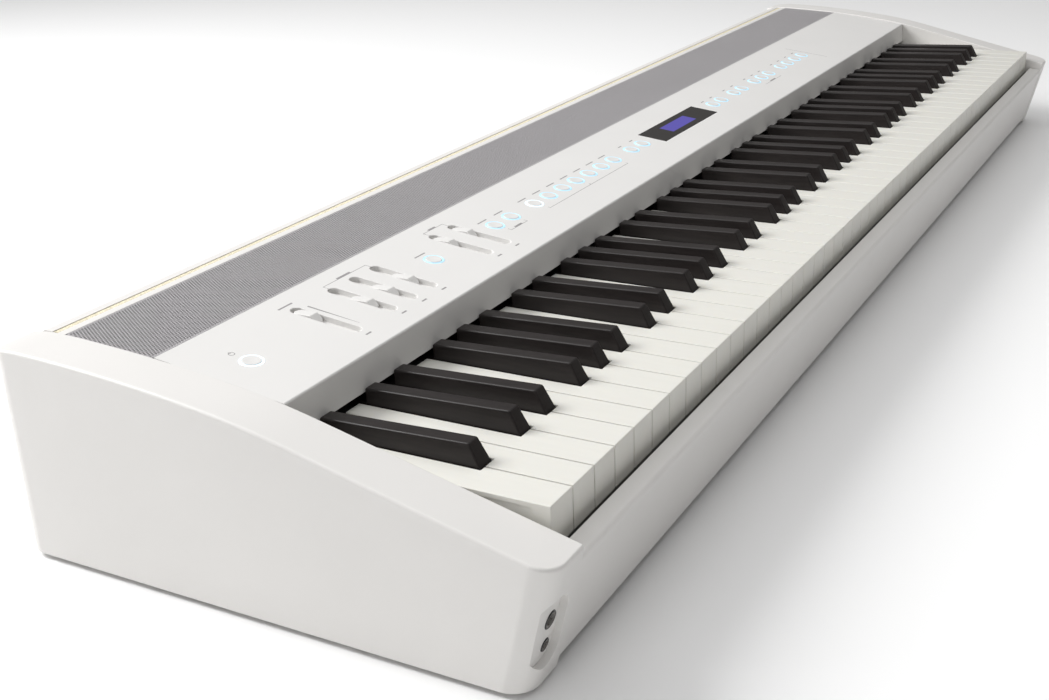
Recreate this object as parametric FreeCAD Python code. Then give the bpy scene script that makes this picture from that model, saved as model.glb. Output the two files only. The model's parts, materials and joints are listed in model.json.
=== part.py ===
"""Portable 88-key digital piano: a white slab case with end blocks, a sloping control panel,
a perforated speaker strip and a weighted keyboard.

Millimetres. +X runs along the keyboard from the bass to the treble end, +Y away from the player,
+Z up. The origin is under the middle of the case, at the floor.
Each named piece is written to parts/NAME.step; like pieces share a file as separate solids.
"""
import FreeCAD, Part
import os
from math import atan2, cos, degrees, hypot, radians, sin, tan

V = FreeCAD.Vector
X_AXIS = V(1, 0, 0)

# ---- overall size
LENGTH = 1291.0
DEPTH = 346.0
HEIGHT = 129.0
FRONT_Y = -DEPTH / 2
REAR_Y = DEPTH / 2

# ---- end blocks: side outline, read from the front top corner round to the back
BLOCK_WIDTH = 32.0
BLOCK_BOTTOM = 3.4
RAMP_ANGLE = 13.5         # straight ramp beside the keys
PANEL_BEND_RADIUS = 500.0
BLOCK_PANEL_ANGLE = 7.7
CROWN_RADIUS = 1140.0
CROWN_ANGLE = 1.4
SHOULDER_RADIUS = 86.0    # the top starts to fall towards the back
SHOULDER_ANGLE = -12.0
REAR_CORNER_RADIUS = 3.0
REAR_TOP_ANGLE = -85.0
BACK_RADIUS = 150.0       # the back face bulges a little
REAR_HEADING = -91.0
FRONT_SETBACK = 17.0      # how far the front face leans back between top and bottom
BLOCK_CORNER = 14.0       # plan radius of the outer front corner
BLOCK_REAR_CORNER = 13.0  # plan radius of the outer rear corner
BLOCK_EDGE = 2.0          # rounding of the outer rim
BLOCK_INNER_EDGE = 1.0
BLOCK_WALL = 4.0
FRONT_WALL = 12.0         # the block's front is thicker, for the headphone recess

# ---- keyboard
WHITE_COUNT = 52
WHITE_PITCH = 23.5
KEY_GAP = 1.0
KEY_TOP = 88.0            # white key surface above the floor
KEY_FRONT = -153.5        # front face of the white keys
KEY_LENGTH = 238.0
WHITE_DEPTH = 24.0        # height of a white key's front
BLACK_FRONT = 50.0        # where a black key starts, behind the white fronts
BLACK_SLOPE = 6.5
BLACK_HEIGHT = 12.0
BLACK_REAR_HEIGHT = 8.8   # the top falls away a little towards the panel
BLACK_BASE = 11.6
BLACK_TOP = 9.6
BLACK_CLEARANCE = 1.1
PIVOT_BACK = 225.0        # pivot behind the white fronts
PIVOT_BELOW = 12.0        # pivot under the white surface
KEY_DIP_ANGLE = 2.5

# ---- control panel and the strips behind it
PANEL_SLOPE = degrees(atan2(11.2, 86.0))
PANEL_RUN = 86.0
PANEL_THICK = 3.2
FALL_DROP = 20.0          # the panel's front turns down this far, just below the black keys' tops
FALL_SETBACK = 1.5
PANEL_EDGE = 1.5          # rounding along the panel's front
PANEL_FRONT = KEY_FRONT + 150.0
FALL_GAP = 0.9            # between the black keys' raised parts and the fall behind them
SEAM = 1.2
GRILLE_RUN = 63.0
GRILLE_SLOPE = 3.3
GRILLE_THICK = 1.2
GRILLE_DROP = 0.5         # the sheet lies this far under the panel's rear edge
REST_GROOVE_SETBACK = 6.0
REST_GROOVE = 4.4         # slot that a music rest stands in
REST_GROOVE_DEPTH = 7.0
REAR_RAIL_RUN = 14.5
REAR_RAIL_RADIUS = 5.0
REAR_RAIL_DROP = 14.0
REAR_RAIL_LIP = 6.0
BACK_SETBACK = 6.5        # the back cover stands this far inside the blocks' backs

# ---- controls, placed by distance from the bass end of the keys; all sit on one line
CONTROL_LINE = 43.8       # up the panel's slope from its front edge
BUTTON_RADIUS = 5.5
BUTTON_PROUD = 0.6
BUTTON_TRAVEL = 0.8
RING_INNER = 5.8
RING_OUTER = 7.1
SLOT_WIDTH = 8.0
SLOT_LENGTH = 48.7
SLOT_DEPTH = 3.5
TROUGH_WALL = 1.2
CAP_LENGTH = 19.0
CAP_WIDTH = 7.2
CAP_RISE = 1.0            # the ridge stands this far above the panel
CAP_FOOT = 0.8            # height of the cap's ends
CAP_RIDGE = 1.0           # flat along the ridge
RIDGE_FROM_FRONT = 6.2
SLIDER_REACH = 14.0       # travel to either side of the slot's middle
SLIT_WIDTH = 1.6
STEM_OFFSET = -2.6        # the slit and the caps' stems run along the bass side of a trough
SLOT_ROUNDING = 0.5
DISPLAY_WIDTH = 119.0
DISPLAY_DEPTH = 26.4
SWITCH_TOP = 6.0          # top of the push switches under the panel's surface

POWER_X = [26.0]
VOLUME_X = [92.5]
VOLUME_REST = 12.5        # how far behind the slot's middle the caps rest
EQ_REST = -1.6
BALANCE_REST = 11.5
EQ_X = [129.0, 151.0, 173.3]
EQ_BUTTON_X = [208.8]
BALANCE_X = [242.7, 266.5]
BALANCE_BUTTON_X = [288.5, 311.0]
TONE_X = [345.8 + 22.3 * i for i in range(7)]
SONG_X = [514.6, 536.5]
DISPLAY_X = 616.3
EXIT_X = [698.0, 719.0]
VALUE_X = [752.6, 774.6]
RECORD_X = [810.2, 832.0, 853.5]
FUNCTION_X = [891.0, 913.0, 936.5, 960.0]

BUTTONS = (
    [("power_button", x) for x in POWER_X]
    + [("equalizer_button", x) for x in EQ_BUTTON_X]
    + [("split_button", BALANCE_BUTTON_X[0]), ("dual_button", BALANCE_BUTTON_X[1])]
    + [("tone_button_%d" % (i + 1), x) for i, x in enumerate(TONE_X)]
    + [("song_button_%d" % (i + 1), x) for i, x in enumerate(SONG_X)]
    + [("exit_button", EXIT_X[0]), ("enter_button", EXIT_X[1])]
    + [("minus_button", VALUE_X[0]), ("plus_button", VALUE_X[1])]
    + [("record_button_%d" % (i + 1), x) for i, x in enumerate(RECORD_X)]
    + [("function_button_%d" % (i + 1), x) for i, x in enumerate(FUNCTION_X)]
)
SLIDERS = (
    [("volume_slider", VOLUME_X[0], VOLUME_REST)]
    + [("equalizer_slider_%d" % (i + 1), x, EQ_REST) for i, x in enumerate(EQ_X)]
    + [("balance_slider_%d" % (i + 1), x, BALANCE_REST) for i, x in enumerate(BALANCE_X)]
)

# ---- floor, rail, inside
BOARD_BOTTOM = 8.0
BOARD_THICK = 9.0
FOOT_RADIUS = 10.0
RAIL_TOP = 67.0
RAIL_WIDTH = 12.5
RAIL_SETBACK = 2.2        # the rail's top edge behind the blocks' front edges
FRAME_SHEET = 1.5
FELT = 3.0
STAND_BOLT_RADIUS = 2.5
STAND_BOLT_X = 550.0
STAND_BOLT_Y = 110.0
PHONES_RADIUS = 3.2
MINI_RADIUS = 1.8
PHONES_Z = (37.5, 22.5)
PHONES_X = -627.5
POCKET_X = -631.5         # the headphone recess runs out on the rounded corner
POCKET_Z = 34.5
POCKET_WIDTH = 23.0
POCKET_LENGTH = 42.0
POCKET_DEPTH = 4.0
SOCKET_ROW_X = {"output_left": -420.0, "output_right": -390.0, "pedal": -340.0}
SOCKET_Z = 42.0
INLET_X = -520.0
INLET_RADIUS = 2.8
USB_X = -470.0
USB_SIZE = (13.0, 12.0)
USB_FRAME = 15.0          # the strips of the back cover on each side of the USB opening
USB_WALL = 1.5

# ---- worked out
INNER_X = LENGTH / 2 - BLOCK_WIDTH            # inner face of each end block
KEYS_LEFT = -WHITE_COUNT * WHITE_PITCH / 2
CASE_GAP = 0.4
CASE_X = INNER_X - CASE_GAP                   # half length of what lies between the blocks
TOP_ARCS = [(PANEL_BEND_RADIUS, RAMP_ANGLE, BLOCK_PANEL_ANGLE),
            (CROWN_RADIUS, BLOCK_PANEL_ANGLE, CROWN_ANGLE),
            (SHOULDER_RADIUS, CROWN_ANGLE, SHOULDER_ANGLE),
            (REAR_CORNER_RADIUS, SHOULDER_ANGLE, REAR_TOP_ANGLE),
            (BACK_RADIUS, REAR_TOP_ANGLE, -90.0)]
RAMP_RUN = DEPTH - sum(r * (sin(radians(a)) - sin(radians(b))) for r, a, b in TOP_ARCS)
TOP_RISE = (RAMP_RUN * tan(radians(RAMP_ANGLE))
            + sum(r * (cos(radians(max(b, 0))) - cos(radians(a))) for r, a, b in TOP_ARCS[:3]))
BLOCK_FRONT_TOP = HEIGHT - TOP_RISE
LEAN = degrees(atan2(FRONT_SETBACK, BLOCK_FRONT_TOP - BLOCK_BOTTOM))
PANEL_Z = KEY_TOP + 25.9                      # panel surface at its front edge
PANEL_REAR = PANEL_FRONT + PANEL_RUN
PANEL_REAR_Z = PANEL_Z + PANEL_RUN * tan(radians(PANEL_SLOPE))
GRILLE_FRONT = PANEL_REAR + SEAM
GRILLE_Z = PANEL_REAR_Z - GRILLE_DROP
GRILLE_REAR = GRILLE_FRONT + GRILLE_RUN
GRILLE_REAR_Z = GRILLE_Z + GRILLE_RUN * tan(radians(GRILLE_SLOPE))
BACK_Y = REAR_Y - BACK_SETBACK
PIVOT_Y = KEY_FRONT + PIVOT_BACK
PIVOT_Z = KEY_TOP - PIVOT_BELOW


# ---- helpers
def box(x0, x1, y0, y1, z0, z1):
    return Part.makeBox(x1 - x0, y1 - y0, z1 - z0, V(x0, y0, z0))


def rod(radius, length, base, direction):
    return Part.makeCylinder(radius, length, base, direction)


def tube(outer, inner, length, base, direction):
    return rod(outer, length, base, direction).cut(rod(inner, length, base, direction))


def prism(points, x0, x1):
    """A straight-sided outline in the YZ plane, drawn out along X."""
    corners = [V(x0, y, z) for y, z in points]
    face = Part.Face(Part.makePolygon(corners + corners[:1]))
    return face.extrude(V(x1 - x0, 0, 0))


class Outline:
    """A path in the YZ plane, walked by straight runs and tangent arcs."""

    def __init__(self, y, z, heading):
        self.point = V(0, y, z)
        self.heading = heading
        self.edges = []

    def line_to(self, y, z):
        end = V(0, y, z)
        self.edges.append(Part.LineSegment(self.point, end).toShape())
        self.heading = degrees(atan2(z - self.point.z, y - self.point.y))
        self.point = end
        return self

    def run(self, length):
        along = V(0, cos(radians(self.heading)), sin(radians(self.heading)))
        end = self.point + along * length
        return self.line_to(end.y, end.z)

    def turn_right(self, radius, heading):
        def at(angle):
            return self.point + V(0, radius * (sin(start) - sin(angle)),
                                  radius * (cos(angle) - cos(start)))
        start, stop = radians(self.heading), radians(heading)
        end = at(stop)
        self.edges.append(Part.Arc(self.point, at((start + stop) / 2), end).toShape())
        self.point, self.heading = end, heading
        return self

    def drawn_out(self, x0, x1):
        face = Part.Face(Part.Wire(self.edges))
        face.translate(V(x0, 0, 0))
        return face.extrude(V(x1 - x0, 0, 0))


def on_panel(shape):
    """Place a shape made with X along the panel, Y up its slope and Z out of its surface."""
    placed = shape.copy()
    placed.rotate(V(0, 0, 0), X_AXIS, PANEL_SLOPE)
    placed.translate(V(0, PANEL_FRONT, PANEL_Z))
    return placed


def mirrored(shape):
    return shape.mirror(V(0, 0, 0), X_AXIS)


def stadium(width, length, x, y, z0, z1):
    """A slot-shaped plug with round ends, its length along Y."""
    radius, straight = width / 2, length - width
    middle = box(x - radius, x + radius, y - straight / 2, y + straight / 2, z0, z1)
    ends = [rod(radius, z1 - z0, V(x, y + side * straight / 2, z0), V(0, 0, 1))
            for side in (-1, 1)]
    return middle.fuse(ends).removeSplitter()


# ---- case
def front_normal():
    return V(0, -cos(radians(LEAN)), -sin(radians(LEAN)))


def front_point(x, z, inset=0.0):
    """A point on the end block's front face at height z, moved inwards by inset."""
    y = FRONT_Y + (BLOCK_FRONT_TOP - z) * tan(radians(LEAN))
    return V(x, y, z) - front_normal() * inset


def block_outline():
    path = Outline(FRONT_Y, BLOCK_FRONT_TOP, RAMP_ANGLE)
    path.run(RAMP_RUN / cos(radians(RAMP_ANGLE)))
    for radius, _, angle in TOP_ARCS[:-1]:
        path.turn_right(radius, angle)
    path.turn_right(BACK_RADIUS, REAR_HEADING)
    path.run((path.point.z - BLOCK_BOTTOM) / sin(radians(-REAR_HEADING)))
    path.line_to(FRONT_Y + FRONT_SETBACK, BLOCK_BOTTOM)
    path.line_to(FRONT_Y, BLOCK_FRONT_TOP)
    return path


def end_block():
    """The block at the bass end: rounded outside, hollow towards the keys."""
    outer = -LENGTH / 2
    block = block_outline().drawn_out(outer, -INNER_X)

    def on_outside(edge):
        return all(abs(v.X - outer) < 1e-3 for v in edge.Vertexes)

    def is_front(edge):
        low, high = sorted(v.Z for v in edge.Vertexes)
        return abs(high - BLOCK_FRONT_TOP) < 1e-3 and abs(low - BLOCK_BOTTOM) < 1e-3
    corner = [e for e in block.Edges if on_outside(e) and is_front(e)]
    block = block.makeFillet(BLOCK_CORNER, corner)
    rim = [e for e in block.Edges
           if on_outside(e) and e.BoundBox.ZMin > BLOCK_BOTTOM + 1 and e.BoundBox.YMin < BACK_Y - 20]
    block = block.makeFillet(BLOCK_EDGE, rim)
    block = block.cut(outside_corner(outer))
    inner_rim = [e for e in block.Edges
                 if all(abs(v.X + INNER_X) < 1e-3 for v in e.Vertexes)
                 and e.BoundBox.ZMin > BLOCK_BOTTOM + 1]
    block = block.makeFillet(BLOCK_INNER_EDGE, inner_rim)
    front_low, front_high = front_point(0, 12.0, FRONT_WALL), front_point(0, 60.0, FRONT_WALL)
    room = [(front_low.y, front_low.z), (150, 12), (150, 116), (95, 116), (0, 103), (0, 78),
            (front_high.y, front_high.z)]
    return block.cut(prism(room, outer + BLOCK_WALL, -INNER_X + 1))


def outside_corner(outer):
    """What the rear outer corner loses to its rounding in plan."""
    radius = BLOCK_REAR_CORNER
    square = box(outer - 1, outer + radius, REAR_Y - radius, REAR_Y + 1, 0, HEIGHT + 1)
    return square.cut(rod(radius, HEIGHT + 1, V(outer + radius, REAR_Y - radius, 0), V(0, 0, 1)))


def left_end_block():
    """The bass block also has the headphone recess and its two sockets' holes."""
    block = end_block()
    pocket = stadium(POCKET_WIDTH, POCKET_LENGTH, 0, 0, -POCKET_DEPTH, 5)
    pocket.rotate(V(0, 0, 0), X_AXIS, 90 + LEAN)
    pocket.translate(front_point(POCKET_X, POCKET_Z))
    block = block.cut(pocket)
    for radius, z in zip((PHONES_RADIUS, MINI_RADIUS), PHONES_Z):
        block = block.cut(rod(radius, 60, front_point(PHONES_X, z, -5), front_normal() * -1))
    return block


def right_end_block():
    return mirrored(end_block())


def bottom_board():
    board = box(-CASE_X, CASE_X, -143, BACK_Y - 5, BOARD_BOTTOM, BOARD_BOTTOM + BOARD_THICK)
    holes = [rod(STAND_BOLT_RADIUS, BOARD_THICK, V(x, y, BOARD_BOTTOM), V(0, 0, 1))
             for x in (-STAND_BOLT_X, STAND_BOLT_X) for y in (-STAND_BOLT_Y, STAND_BOLT_Y)]
    holes += [rod(1.6, BOARD_THICK, V(x, y, BOARD_BOTTOM), V(0, 0, 1)) for x, y in screw_places()]
    return board.cut(holes)


def front_rail():
    """The rail in front of the keys; its face leans back like the end blocks."""
    lean = tan(radians(LEAN))
    front_top = FRONT_Y + RAIL_SETBACK
    front_foot = front_top + (RAIL_TOP - BOARD_BOTTOM) * lean
    back_top = front_top + RAIL_WIDTH
    rail = prism([(front_top, RAIL_TOP), (front_foot, BOARD_BOTTOM), (front_foot + 9, BOARD_BOTTOM),
                  (back_top, RAIL_TOP - 8), (back_top, RAIL_TOP + 1)], -CASE_X, CASE_X)
    nose = [e for e in rail.Edges
            if all(abs(v.Y - front_top) < 1e-3 and abs(v.Z - RAIL_TOP) < 1e-3 for v in e.Vertexes)]
    return rail.makeFillet(2.5, nose)


def fall_points():
    """Outline of the panel's turned-down front, along its bottom edge and back."""
    bottom = PANEL_Z - FALL_DROP
    return [(fall_y(bottom), bottom), (fall_y(bottom) + 3.0, bottom)]


def fall_y(z):
    """Where the turned-down front of the panel stands at height z."""
    return PANEL_FRONT - FALL_SETBACK * (PANEL_Z - z) / FALL_DROP


def control_panel():
    """A sloping skin with a turned-down front, holes for the controls and slider troughs."""
    slope = tan(radians(PANEL_SLOPE))
    low, low_back = fall_points()
    under = PANEL_Z - PANEL_THICK
    skin = prism([(PANEL_FRONT, PANEL_Z), (PANEL_REAR, PANEL_REAR_Z),
                  (PANEL_REAR, PANEL_REAR_Z - PANEL_THICK),
                  (PANEL_FRONT + 3.0, under + 3.0 * slope), low_back, low], -CASE_X, CASE_X)
    nose = [e for e in skin.Edges
            if all(abs(v.Y - PANEL_FRONT) < 1e-3 and abs(v.Z - PANEL_Z) < 1e-3 for v in e.Vertexes)]
    skin = skin.makeFillet(PANEL_EDGE, nose)
    troughs = [stadium(SLOT_WIDTH + 2 * TROUGH_WALL, SLOT_LENGTH + 2 * TROUGH_WALL, KEYS_LEFT + x,
                       CONTROL_LINE, -SLOT_DEPTH - TROUGH_WALL, -1) for _, x, _ in SLIDERS]
    skin = skin.fuse([on_panel(t) for t in troughs])
    cuts = []
    for _, x in BUTTONS:
        cuts.append(rod(RING_OUTER + 0.05, 20, V(KEYS_LEFT + x, CONTROL_LINE, -10), V(0, 0, 1)))
    for _, x, _ in SLIDERS:
        cuts.append(stadium(SLOT_WIDTH, SLOT_LENGTH, KEYS_LEFT + x, CONTROL_LINE, -SLOT_DEPTH, 5))
        slit_x = KEYS_LEFT + x + STEM_OFFSET
        cuts.append(box(slit_x - SLIT_WIDTH / 2, slit_x + SLIT_WIDTH / 2,
                        CONTROL_LINE - SLIDER_REACH - 2.6, CONTROL_LINE + SLIDER_REACH + 2.6,
                        -SLOT_DEPTH - TROUGH_WALL - 1, -1))
    cuts.append(display_block(0.1, -10, 5))
    skin = skin.cut([on_panel(c) for c in cuts])
    return skin.makeFillet(SLOT_ROUNDING, slot_rims(skin))


def slot_rims(skin):
    """The edges where the slider troughs break the panel's surface."""
    reach = SLOT_WIDTH / 2 + 0.1
    rims = []
    for edge in skin.Edges:
        middle = edge.valueAt((edge.FirstParameter + edge.LastParameter) / 2)
        near = any(abs(middle.x - KEYS_LEFT - x) < reach for _, x, _ in SLIDERS)
        above = middle - V(0, PANEL_FRONT, PANEL_Z)
        height = above.z * cos(radians(PANEL_SLOPE)) - above.y * sin(radians(PANEL_SLOPE))
        if near and abs(height) < 1e-3 and 10 < above.y < PANEL_RUN - 5:
            rims.append(edge)
    return rims


def display_block(margin, n0, n1):
    half_x, half_u = DISPLAY_WIDTH / 2 + margin, DISPLAY_DEPTH / 2 + margin
    x = KEYS_LEFT + DISPLAY_X
    return box(x - half_x, x + half_x, CONTROL_LINE - half_u, CONTROL_LINE + half_u, n0, n1)


def display_window():
    return on_panel(display_block(0, -1.6, 0.1))


def display_module():
    """The screen's glass, a little under the window."""
    x = KEYS_LEFT + DISPLAY_X
    glass = box(x - 28, x + 28, CONTROL_LINE - 9, CONTROL_LINE + 9, -4.2, -1.8)
    carrier = box(x - 40, x + 40, CONTROL_LINE - 12, CONTROL_LINE + 12, -6.8, -4.2)
    return on_panel(glass.fuse(carrier))


def speaker_grille():
    return prism([(GRILLE_FRONT, GRILLE_Z), (GRILLE_REAR, GRILLE_REAR_Z),
                  (GRILLE_REAR, GRILLE_REAR_Z - GRILLE_THICK),
                  (GRILLE_FRONT, GRILLE_Z - GRILLE_THICK)], -CASE_X, CASE_X)


def rear_rail():
    """The top rear edge of the case, with the slot that a music rest stands in."""
    path = Outline(GRILLE_REAR + 0.6, GRILLE_REAR_Z, CROWN_ANGLE)
    path.run(REAR_RAIL_RUN)
    path.turn_right(REAR_RAIL_RADIUS, REAR_HEADING)
    path.run(REAR_RAIL_DROP)
    foot = path.point
    path.line_to(foot.y - 6, foot.z)
    path.line_to(foot.y - 6, foot.z + REAR_RAIL_LIP)
    path.line_to(GRILLE_REAR + 0.6, foot.z + REAR_RAIL_LIP)
    path.line_to(GRILLE_REAR + 0.6, GRILLE_REAR_Z)
    rail = path.drawn_out(-CASE_X, CASE_X)
    groove_y = GRILLE_REAR + REST_GROOVE_SETBACK
    groove = box(-CASE_X - 1, CASE_X + 1, groove_y, groove_y + REST_GROOVE,
                 GRILLE_REAR_Z - REST_GROOVE_DEPTH, HEIGHT + 5)
    return rail.cut(groove)


def rear_foot():
    """Where the rear rail ends and the back cover starts."""
    path = Outline(GRILLE_REAR + 0.6, GRILLE_REAR_Z, CROWN_ANGLE)
    path.run(REAR_RAIL_RUN)
    path.turn_right(REAR_RAIL_RADIUS, REAR_HEADING)
    path.run(REAR_RAIL_DROP)
    return path.point


def back_cover():
    """The back wall, with openings for the sockets; strips of it frame the USB opening."""
    top = rear_foot()
    thick = 4.0
    side = [(top.y, top.z - 0.3), (BACK_Y, BOARD_BOTTOM), (BACK_Y - thick, BOARD_BOTTOM),
            (top.y - thick, top.z - 0.3)]
    holes = [rod(PHONES_RADIUS, 30, V(x, BACK_Y - 15, SOCKET_Z), V(0, 1, 0))
             for x in SOCKET_ROW_X.values()]
    holes.append(rod(INLET_RADIUS, 30, V(INLET_X, BACK_Y - 15, SOCKET_Z), V(0, 1, 0)))
    left, right = USB_X - USB_SIZE[0] / 2, USB_X + USB_SIZE[0] / 2
    strip = prism(side, left, right)
    low, high = SOCKET_Z - USB_SIZE[1] / 2, SOCKET_Z + USB_SIZE[1] / 2
    return Part.makeCompound([
        prism(side, -CASE_X, left - USB_FRAME).cut(holes),
        prism(side, right + USB_FRAME, CASE_X).cut(holes),
        prism(side, left - USB_FRAME, left), prism(side, right, right + USB_FRAME),
        strip.common(box(left, right, BACK_Y - 15, BACK_Y + 5, high, HEIGHT)),
        strip.common(box(left, right, BACK_Y - 15, BACK_Y + 5, 0, low))])


# ---- keyboard
def black_centres():
    """Black key centres from the bass end: the gaps C-E and F-B are divided evenly."""
    fifth, seventh = 3 * WHITE_PITCH / 5, 4 * WHITE_PITCH / 7
    offsets = {1: 1.5 * fifth, 3: 3.5 * fifth}
    for note, step in ((6, 1.5), (8, 3.5), (10, 5.5)):
        offsets[note] = 3 * WHITE_PITCH + step * seventh
    centres = {}
    for octave in range(-1, 8):
        start = (2 + 7 * octave) * WHITE_PITCH
        for note, offset in offsets.items():
            key = 12 * octave + note + 3
            if 0 <= key < 88:
                centres[key] = start + offset - 0.8
    return centres


NOTE_NAMES = ["c", "c_sharp", "d", "d_sharp", "e", "f", "f_sharp", "g", "g_sharp", "a",
              "a_sharp", "b"]
BLACK_NOTES = (1, 3, 6, 8, 10)
BLACK_CENTRES = black_centres()


def note_of(key):
    return (key + 9) % 12


def white_key(key):
    """A white key: a full-width head and a neck between the black keys beside it."""
    index = sum(1 for k in range(key) if note_of(k) not in BLACK_NOTES)
    left = KEYS_LEFT + index * WHITE_PITCH + KEY_GAP / 2
    right = left + WHITE_PITCH - KEY_GAP
    half_slot = BLACK_BASE / 2 + BLACK_CLEARANCE
    neck_left, neck_right = left, right
    if key - 1 in BLACK_CENTRES:
        neck_left = KEYS_LEFT + BLACK_CENTRES[key - 1] + half_slot
    if key + 1 in BLACK_CENTRES:
        neck_right = KEYS_LEFT + BLACK_CENTRES[key + 1] - half_slot
    shoulder = KEY_FRONT + BLACK_FRONT - BLACK_CLEARANCE
    end = KEY_FRONT + KEY_LENGTH
    plan = [(left, KEY_FRONT), (right, KEY_FRONT), (right, shoulder), (neck_right, shoulder),
            (neck_right, end), (neck_left, end), (neck_left, shoulder), (left, shoulder)]
    corners = []
    for x, y in plan:
        point = V(x, y, KEY_TOP - WHITE_DEPTH)
        if not corners or (point - corners[-1]).Length > 1e-6:
            corners.append(point)
    face = Part.Face(Part.makePolygon(corners + corners[:1]))
    return face.extrude(V(0, 0, WHITE_DEPTH)).removeSplitter()


def black_key(key):
    """A black key: a tapered top on a straight body; the top ends in front of the fall."""
    x = KEYS_LEFT + BLACK_CENTRES[key]
    front, end = KEY_FRONT + BLACK_FRONT, KEY_FRONT + KEY_LENGTH
    low, top = KEY_TOP - WHITE_DEPTH, KEY_TOP + BLACK_HEIGHT
    body = box(x - BLACK_BASE / 2, x + BLACK_BASE / 2, front, end, low, KEY_TOP)
    half_low, half_top = BLACK_BASE / 2, BLACK_TOP / 2
    half_rear = half_low - (half_low - half_top) * BLACK_REAR_HEIGHT / BLACK_HEIGHT
    rear = KEY_TOP + BLACK_REAR_HEIGHT
    rear_low, rear_top = fall_y(KEY_TOP) - FALL_GAP, fall_y(rear) - FALL_GAP
    base = [V(x - half_low, front, KEY_TOP), V(x + half_low, front, KEY_TOP),
            V(x + half_low, rear_low, KEY_TOP), V(x - half_low, rear_low, KEY_TOP)]
    lid = [V(x - half_top, front + BLACK_SLOPE, top), V(x + half_top, front + BLACK_SLOPE, top),
           V(x + half_rear, rear_top, rear), V(x - half_rear, rear_top, rear)]
    return body.fuse(hull_of(base, lid)).removeSplitter()


def hull_of(base, lid):
    """A closed solid between two four-cornered faces."""
    faces = [Part.Face(Part.makePolygon(base + base[:1])), Part.Face(Part.makePolygon(lid + lid[:1]))]
    for i in range(4):
        j = (i + 1) % 4
        side = [base[i], base[j], lid[j], lid[i], base[i]]
        faces.append(Part.Face(Part.makePolygon(side)))
    return Part.Solid(Part.Shell(faces))


def key_group(note):
    """Every key of one note, as separate solids."""
    make = black_key if note in BLACK_NOTES else white_key
    return Part.makeCompound([make(key) for key in range(88) if note_of(key) == note])


def key_frame():
    """The steel bed with its front guide rail and its balance rail."""
    low = BOARD_BOTTOM + BOARD_THICK
    sheet = box(-CASE_X + 2, CASE_X - 2, -141, 100, low, low + FRAME_SHEET)
    guide_top = KEY_TOP - WHITE_DEPTH - 10 - FELT
    balance_top = KEY_TOP - WHITE_DEPTH - 0.6 - FELT / 2
    guide = channel(KEY_FRONT + 14, KEY_FRONT + 34, low, guide_top)
    balance = channel(PIVOT_Y - 6, PIVOT_Y + 6, low, balance_top)
    return sheet.fuse([guide, balance]).removeSplitter()


def channel(y0, y1, z0, z1):
    """A folded sheet rail along the bed: two walls and a top."""
    outer = box(-CASE_X + 2, CASE_X - 2, y0, y1, z0, z1)
    inner = box(-CASE_X, CASE_X, y0 + FRAME_SHEET, y1 - FRAME_SHEET, z0 + FRAME_SHEET,
                z1 - FRAME_SHEET)
    return outer.cut(inner)


def key_felts():
    guide_top = KEY_TOP - WHITE_DEPTH - 10 - FELT
    balance_top = KEY_TOP - WHITE_DEPTH - 0.6
    front = box(-CASE_X + 4, CASE_X - 4, KEY_FRONT + 16, KEY_FRONT + 32, guide_top, guide_top + FELT)
    back = box(-CASE_X + 4, CASE_X - 4, PIVOT_Y - 4, PIVOT_Y + 4, balance_top - FELT / 2, balance_top)
    return Part.makeCompound([front, back])


# ---- controls
def button(x):
    cap = rod(BUTTON_RADIUS, 5.5, V(KEYS_LEFT + x, CONTROL_LINE, BUTTON_PROUD - 5.5), V(0, 0, 1))
    return on_panel(cap)


def button_light_rings():
    rings = [tube(RING_OUTER, RING_INNER, 4.0, V(KEYS_LEFT + x, CONTROL_LINE, -3.8), V(0, 0, 1))
             for _, x in BUTTONS]
    return on_panel(Part.makeCompound(rings))


def slider_cap(x, rest):
    """A ridged cap whose stem passes the slit in the trough's floor."""
    x0, middle = KEYS_LEFT + x, CONTROL_LINE + rest
    floor = 0.3 - SLOT_DEPTH
    foot = floor + CAP_FOOT
    front, rear = middle - CAP_LENGTH / 2, middle + CAP_LENGTH / 2
    ridge = front + RIDGE_FROM_FRONT
    side = prism([(front, floor), (rear, floor), (rear, foot), (ridge + CAP_RIDGE / 2, CAP_RISE),
                  (ridge - CAP_RIDGE / 2, CAP_RISE), (front, foot)],
                 x0 - CAP_WIDTH / 2, x0 + CAP_WIDTH / 2)
    cap = side.common(stadium(CAP_WIDTH, CAP_LENGTH, x0, middle, floor, CAP_RISE))
    stem_x = x0 + STEM_OFFSET
    stem = box(stem_x - 0.5, stem_x + 0.5, middle - 2, middle + 2, -6.4, floor)
    return on_panel(cap.fuse(stem).removeSplitter())


def circuit_boards():
    """The panel's board with its switches and slide controls, and the main board below."""
    board_top = -SWITCH_TOP - 2.6
    panel_board = box(KEYS_LEFT + 12, KEYS_LEFT + 975, 10, 76, board_top - 1.6, board_top)
    solids = [panel_board]
    for _, x in BUTTONS:
        solids.append(box(KEYS_LEFT + x - 3, KEYS_LEFT + x + 3, CONTROL_LINE - 3, CONTROL_LINE + 3,
                          board_top, -SWITCH_TOP))
    for _, x, _ in SLIDERS:
        solids.append(box(KEYS_LEFT + x - 4, KEYS_LEFT + x + 4, CONTROL_LINE - 24,
                          CONTROL_LINE + 24, board_top, -SWITCH_TOP - 0.8))
    low = BOARD_BOTTOM + BOARD_THICK + 8
    main_board = box(-560, -300, 102, 152, low, low + 1.6)
    supply = box(-280, -180, 104, 150, BOARD_BOTTOM + BOARD_THICK, low + 20)
    return Part.makeCompound([on_panel(s) for s in solids] + [main_board, supply])


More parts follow.
